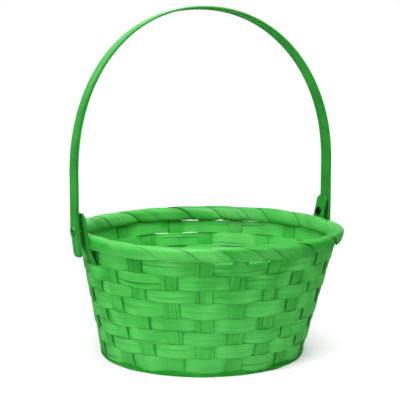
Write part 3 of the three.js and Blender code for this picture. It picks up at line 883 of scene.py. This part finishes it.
def rivet_steel(name, clean):
    """Steel with clouds of dye and painted shade in the hollow of its curled end, which is too shallow to
    shade itself. The higher clean is, the more of it is left bare.
    """
    material = bpy.data.materials.new(name)
    material.use_nodes = True
    tree = material.node_tree
    tree.nodes.clear()
    steel = Wood(tree)
    place = steel.node("ShaderNodeAttribute", {"attribute_name": "grain"}, {}, output="Vector")
    aside = steel.node("ShaderNodeVectorMath", {"operation": "MULTIPLY"}, {0: place, 1: (0.0, 1.0, 1.0)})
    radius = steel.node("ShaderNodeVectorMath", {"operation": "LENGTH"}, {0: aside}, output="Value")
    outer = steel.node("ShaderNodeSeparateXYZ", {}, {0: place}, output=0)
    # Painted shade: the middle of the curled end is dark and not metallic.
    hollow = steel.math("LESS_THAN", radius, rivet_bore) * steel.math("GREATER_THAN", outer, handle_half_span)
    cloud = steel.node("ShaderNodeTexNoise", {}, {"Vector": place, "Scale": 900.0, "Detail": 3.0})
    brushed = steel.node("ShaderNodeTexNoise", {}, {"Vector": place, "Scale": 4000.0, "Detail": 1.0})
    dyed = steel.node("ShaderNodeValToRGB", {"stops": [(clean, 0.0), (clean + 0.2, 1.0)]}, {0: cloud})
    tone = hollow.blend(dyed.blend(bare_steel, oversprayed), painted_hollow_shade)
    bump = steel.node("ShaderNodeBump", {}, {"Strength": 0.3, "Distance": 0.0001, "Height": brushed})
    shader = steel.node(
        "ShaderNodeBsdfPrincipled",
        {},
        {
            "Base Color": tone,
            "Metallic": (1 - dyed * 0.7) * (1 - hollow),
            "Roughness": cloud * 0.25 + 0.22,
            "Normal": bump,
        },
    )
    steel.node("ShaderNodeOutputMaterial", {}, {"Surface": shader})
    return material


def rivet_faces(profile, tilt=0.0, shift=0.0):
    """A round body about X from [x, radius] pairs that start and end on the axis. Its grain is its place."""
    turns = np.arange(rivet_segments) * 2 * math.pi / rivet_segments
    points = [(profile[0][0], 0.0, 0.0)]
    for x, radius in profile[1:-1]:
        points += [(x, radius * math.cos(turn), radius * math.sin(turn)) for turn in turns]
    points.append((profile[-1][0], 0.0, 0.0))
    points = np.array(points)
    turned = points.copy()
    turned[:, 0] = points[:, 0] * math.cos(tilt) + points[:, 2] * math.sin(tilt) + shift
    turned[:, 2] = points[:, 2] * math.cos(tilt) - points[:, 0] * math.sin(tilt)
    faces = []
    last = len(points) - 1
    rings = len(profile) - 2
    for j in range(rivet_segments):
        k = (j + 1) % rivet_segments
        faces.append((0, 1 + k, 1 + j))
        for ring in range(rings - 1):
            start = 1 + ring * rivet_segments
            faces.append((start + j, start + k, start + rivet_segments + k, start + rivet_segments + j))
        start = 1 + (rings - 1) * rivet_segments
        faces.append((last, start + j, start + k))
    corners = [tuple(turned[corner]) for face in faces for corner in face]
    return turned, faces, corners


def rivet_strips(end):
    low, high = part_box("right_rivet" if end > 0 else "left_rivet")
    head_face = (low.x if end > 0 else -high.x) + rivet_head_thickness
    curl = handle_half_span + handle_thickness / 2 + rivet_curl_gap
    dome = [(-rivet_head_thickness * math.cos(rise), rivet_head_radius * math.sin(rise))
            for rise in np.linspace(0, math.pi / 2, round_steps)]
    dome += [(rivet_head_bite, rivet_head_radius), (rivet_head_bite, 0.0)]
    middle = (rivet_curl_radius + rivet_bore) / 2
    half = (rivet_curl_radius - rivet_bore) / 2
    curled = [(curl + rivet_curl_thickness * math.sin(rise), middle + half * math.cos(rise))
              for rise in np.linspace(0, math.pi, 2 * round_steps)]
    shaft = [(head_face, 0.0), (head_face, rivet_radius), (curl, rivet_radius)]
    shaft += curled + [(curl - rivet_hollow_side, rivet_bore * 0.98), (curl - rivet_hollow, 0.0)]
    parts = []
    for profile, tilt, shift in ((dome, math.atan(ear_lean), head_face), (shaft, 0.0, 0.0)):
        points, faces, corners = rivet_faces(profile, tilt, shift)
        points = points * (end, end, 1) + (0, 0, pivot_height)
        parts.append((points, faces, corners))
    return parts


for end, node, clean in ((-1, "left_rivet", 0.25), (1, "right_rivet", 0.60)):
    steel = rivet_steel(node + "_steel", clean)
    make_piece(node + "_steel", rivet_strips(end), steel, "basket", [node])


# Table: a plain white studio floor, which isn't part of the object. It keeps a faint shadow round the
# basket and fades into the white background, and gloss mirrors it as dim paper.
def studio_floor():
    reach = 6.0
    mesh = bpy.data.meshes.new("studio_floor")
    corners = [(-reach, -reach, 0), (reach, -reach, 0), (reach, reach, 0), (-reach, reach, 0)]
    mesh.from_pydata(corners, [], [(0, 1, 2, 3)])
    material = bpy.data.materials.new("studio_white")
    material.use_nodes = True
    tree = material.node_tree
    tree.nodes.clear()
    white = Wood(tree)
    seen = white.node("ShaderNodeLightPath", {}, {}, output="Is Camera Ray")
    place = white.node("ShaderNodeTexCoord", {}, {}, output="Object")
    away = white.node("ShaderNodeVectorMath", {"operation": "LENGTH"}, {0: place}, output="Value")
    stops = [(0.080, 0.0), (0.100, 0.50), (0.150, 0.80), (0.600, 1.0)]
    open_floor = white.node("ShaderNodeValToRGB", {"stops": stops}, {0: away})
    mirrored = white.node("ShaderNodeLightPath", {}, {}, output="Is Glossy Ray")
    paper = white.node("ShaderNodeBsdfDiffuse", {}, {"Color": (0.86, 0.86, 0.86, 1.0)})
    dim_paper = white.node("ShaderNodeBsdfDiffuse", {}, {"Color": (0.10, 0.10, 0.10, 1.0)})
    paper = white.node("ShaderNodeMixShader", {}, {0: mirrored, 1: paper, 2: dim_paper})
    glow = white.node("ShaderNodeEmission", {}, {"Color": (1.0, 1.0, 1.0, 1.0), "Strength": 1.08})
    surface = white.node("ShaderNodeMixShader", {}, {0: seen * open_floor, 1: paper, 2: glow})
    white.node("ShaderNodeOutputMaterial", {}, {"Surface": surface})
    mesh.materials.append(material)
    floor = bpy.data.objects.new("studio_floor", mesh)
    bpy.context.scene.collection.objects.link(floor)


studio_floor()


# Light: a soft lamp from the left, a large one above and a weak one from the right. A pale room, which is
# brighter overhead and behind the basket, lights all sides, and the camera sees it as plain white.
def lamp(name, place, size, power):
    data = bpy.data.lights.new(name, "AREA")
    data.shape = "SQUARE"
    data.size = size
    data.energy = power
    light = bpy.data.objects.new(name, data)
    target = np.array([0.0, 0.0, 0.1])
    back = unit(np.array(place) - target)
    right = unit(np.cross((0, 0, 1), back))
    up = np.cross(back, right)
    aim = Matrix(np.stack([right, up, back], axis=1).tolist()).to_4x4()
    light.matrix_world = Matrix.Translation(place) @ aim
    bpy.context.scene.collection.objects.link(light)


lamp("key_softbox", (-1.50, -0.62, 1.05), 0.9, 20.5)
lamp("top_softbox", (-0.25, -0.45, 1.75), 1.2, 37.0)
lamp("fill_softbox", (1.20, -0.80, 1.50), 1.2, 5.5)

room_level = 0.22
room_overhead = 0.26
room_behind = 0.6
room_gloss_loss = 0.7  # the share of it that gloss doesn't mirror
behind = (0.48, 0.88, 0.0)
world = bpy.data.worlds.new("studio_room")
bpy.context.scene.world = world
world.use_nodes = True
world.node_tree.nodes.clear()
room = Wood(world.node_tree)
path_camera = room.node("ShaderNodeLightPath", {}, {}, output="Is Camera Ray")
path_glossy = room.node("ShaderNodeLightPath", {}, {}, output="Is Glossy Ray")
direction = room.node("ShaderNodeTexCoord", {}, {}, output="Generated")
upward = room.node("ShaderNodeSeparateXYZ", {}, {0: direction}, output=2)
overhead = room.math("MAXIMUM", upward, 0.0)
facing = {0: direction, 1: behind}
away = room.node("ShaderNodeVectorMath", {"operation": "DOT_PRODUCT"}, facing, output="Value")
backdrop = room.math("MAXIMUM", away, 0.0)
level = (overhead * room_overhead + room_level) * (1 - path_glossy * room_gloss_loss)
level = level + backdrop * backdrop * room_behind
strength = path_camera * (1 - level) + level
background = room.node("ShaderNodeBackground", {}, {"Color": (1.0, 1.0, 1.0, 1.0), "Strength": strength})
room.node("ShaderNodeOutputWorld", {}, {"Surface": background})

bpy.context.scene.view_settings.view_transform = "Standard"
